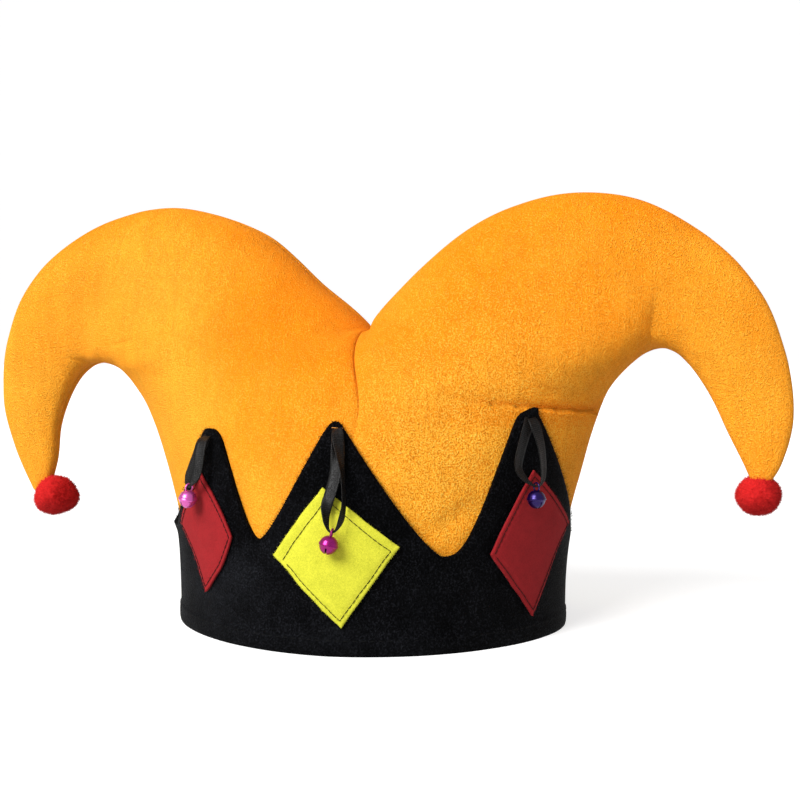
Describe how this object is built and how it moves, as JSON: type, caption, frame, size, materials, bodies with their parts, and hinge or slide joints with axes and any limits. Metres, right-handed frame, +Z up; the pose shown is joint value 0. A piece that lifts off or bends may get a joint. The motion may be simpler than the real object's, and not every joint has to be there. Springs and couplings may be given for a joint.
{
  "type": "jester hat",
  "caption": "Jester hat with a hollow plush crown that splits into drooping horns tipped with pompoms, and a zigzag velvet band with felt diamonds and jingle bells on ribbon loops.",
  "frame": {"origin": "centre of the rim, on the surface that the hat stands on", "axes": "+X towards the wearer's left horn (the right one in a front view), +Z up, the front faces -Y"},
  "size_m": [0.4151, 0.1942, 0.2145],
  "materials": {
    "plush": "short-pile orange plush",
    "wool": "trimmed red wool pompom",
    "velvet": "black velvet with cut pile",
    "felt_yellow": "lemon-yellow craft felt",
    "felt_red": "red craft felt",
    "ribbon": "black satin ribbon",
    "bell_magenta": "tinted lacquer on bright metal",
    "bell_violet": "tinted lacquer on bright metal",
    "bell_pink": "tinted lacquer on bright metal"
  },
  "bodies": {
    "root": {"front_right_panel": "plush", "back_right_panel": "plush", "front_left_panel": "plush", "back_left_panel": "plush", "pompom_right": "wool", "pompom_left": "wool", "zigzag_band": "velvet", "diamond_front": "felt_yellow", "diamond_front_right": "felt_red", "diamond_back_right": "felt_yellow", "diamond_back": "felt_red", "diamond_back_left": "felt_yellow", "diamond_front_left": "felt_red", "ribbon_front": "ribbon", "ribbon_front_right": "ribbon", "ribbon_back_right": "ribbon", "ribbon_back": "ribbon", "ribbon_back_left": "ribbon", "ribbon_front_left": "ribbon", "bell_front": "bell_magenta", "bell_front_right": "bell_violet", "bell_back_right": "bell_magenta", "bell_back": "bell_violet", "bell_back_left": "bell_pink", "bell_front_left": "bell_pink"}
  },
  "joints": []
}
